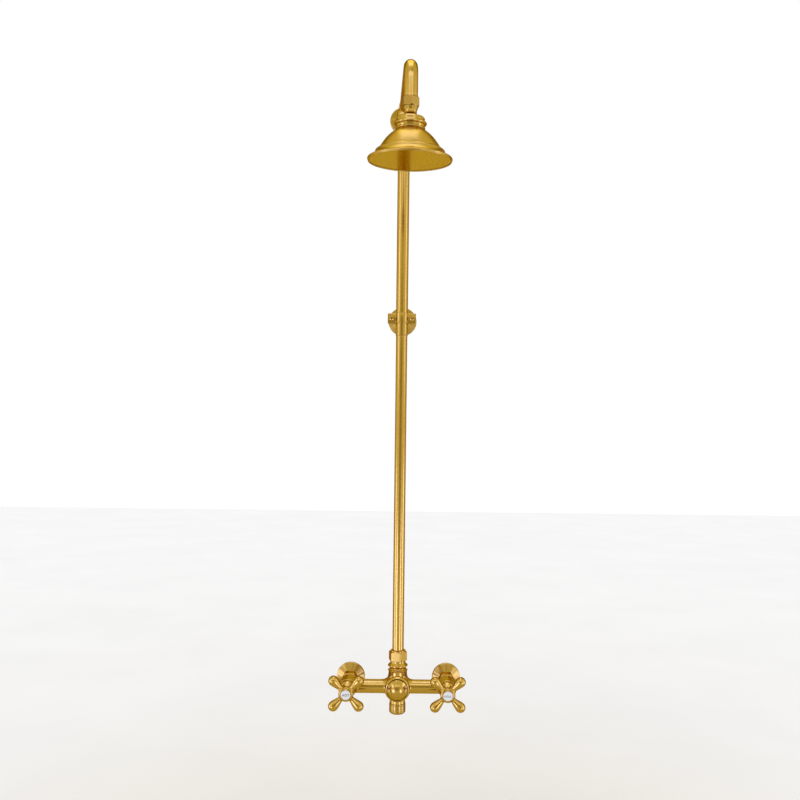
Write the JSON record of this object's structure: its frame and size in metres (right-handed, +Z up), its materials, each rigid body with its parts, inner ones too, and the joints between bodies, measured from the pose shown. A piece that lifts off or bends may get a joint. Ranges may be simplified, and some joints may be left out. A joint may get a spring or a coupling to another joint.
{
  "type": "exposed shower column",
  "caption": "Exposed wall shower column: crossbar valve body with two cross handles, tall riser with wall support, gooseneck arm and bell shower head on a ball joint.",
  "frame": {"origin": "on the finished wall, midway between the two inlet axes", "axes": "+Z up along the riser, -Y out into the room, +X to the right seen from the room (cold side)"},
  "size_m": [0.2742, 0.407, 1.2749],
  "materials": {
    "polished_brass": "polished, lacquered",
    "plain_brass": "machined",
    "porcelain": "glazed white porcelain",
    "ceramic": "lapped ceramic",
    "rubber": "moulded",
    "fibre": "pressed fibre",
    "nylon": "moulded",
    "steel": "zinc plated"
  },
  "bodies": {
    "column": {"faucet_body": "polished_brass", "front_cap": "polished_brass", "front_cap_washer": "rubber", "bottom_plug": "polished_brass", "plug_washer": "rubber", "riser_nut": "polished_brass", "riser_washer": "fibre", "lower_riser": "polished_brass", "riser_coupling": "plain_brass", "upper_riser": "polished_brass", "support_flange": "polished_brass", "support_post": "polished_brass", "support_clamp": "polished_brass", "support_screws": "polished_brass", "support_stud": "steel", "top_flange": "polished_brass", "top_post": "polished_brass", "top_stud": "steel", "arm_tee": "polished_brass", "tee_nut": "polished_brass", "tee_washer": "fibre", "shower_arm": "polished_brass", "ball_joint": "polished_brass", "hot_wall_flange": "polished_brass", "hot_inlet_connector": "plain_brass", "hot_inlet_washer": "rubber", "hot_union_nut": "polished_brass", "hot_seat_seal": "rubber", "hot_cartridge": "plain_brass", "hot_fixed_disc": "ceramic", "hot_bonnet": "polished_brass", "cold_wall_flange": "polished_brass", "cold_inlet_connector": "plain_brass", "cold_inlet_washer": "rubber", "cold_union_nut": "polished_brass", "cold_seat_seal": "rubber", "cold_cartridge": "plain_brass", "cold_fixed_disc": "ceramic", "cold_bonnet": "polished_brass"},
    "hot_valve": {"hot_stem": "plain_brass", "hot_moving_disc": "ceramic", "hot_handle": "polished_brass", "hot_handle_screw": "steel", "hot_index_button": "porcelain", "hot_bezel": "polished_brass"},
    "cold_valve": {"cold_stem": "plain_brass", "cold_moving_disc": "ceramic", "cold_handle": "polished_brass", "cold_handle_screw": "steel", "cold_index_button": "porcelain", "cold_bezel": "polished_brass"},
    "ball_liner": {"ball_liner": "nylon"},
    "ball_seat": {"ball_seat": "nylon"},
    "shower_head": {"swivel_cap": "polished_brass", "head_collar": "polished_brass", "head_bell": "polished_brass", "bell_nut": "plain_brass", "spray_plate": "polished_brass", "plate_gasket": "rubber", "strainer": "steel"}
  },
  "joints": [
    {"name": "hot_handle_turn", "type": "hinge", "parent": "column", "child": "hot_valve", "pos_m": [-0.1016, -0.07, 0], "axis": [0, -1, 0], "range_deg": [0, 90]},
    {"name": "cold_handle_turn", "type": "hinge", "parent": "column", "child": "cold_valve", "pos_m": [0.1016, -0.07, 0], "axis": [0, 1, 0], "range_deg": [0, 90]},
    {"name": "head_turn", "type": "hinge", "parent": "column", "child": "ball_liner", "pos_m": [0.01606, -0.29662, 1.07001], "axis": [0.0021, -0.0348, 0.9994], "continuous": true},
    {"name": "head_tilt", "type": "hinge", "parent": "ball_liner", "child": "ball_seat", "pos_m": [0.01606, -0.29662, 1.07001], "axis": [0.9982, 0.0593, 0], "range_deg": [-13, 7]},
    {"name": "head_spin", "type": "hinge", "parent": "ball_seat", "child": "shower_head", "pos_m": [0.01606, -0.29662, 1.07001], "axis": [0.0052, -0.087, 0.9962], "continuous": true}
  ]
}
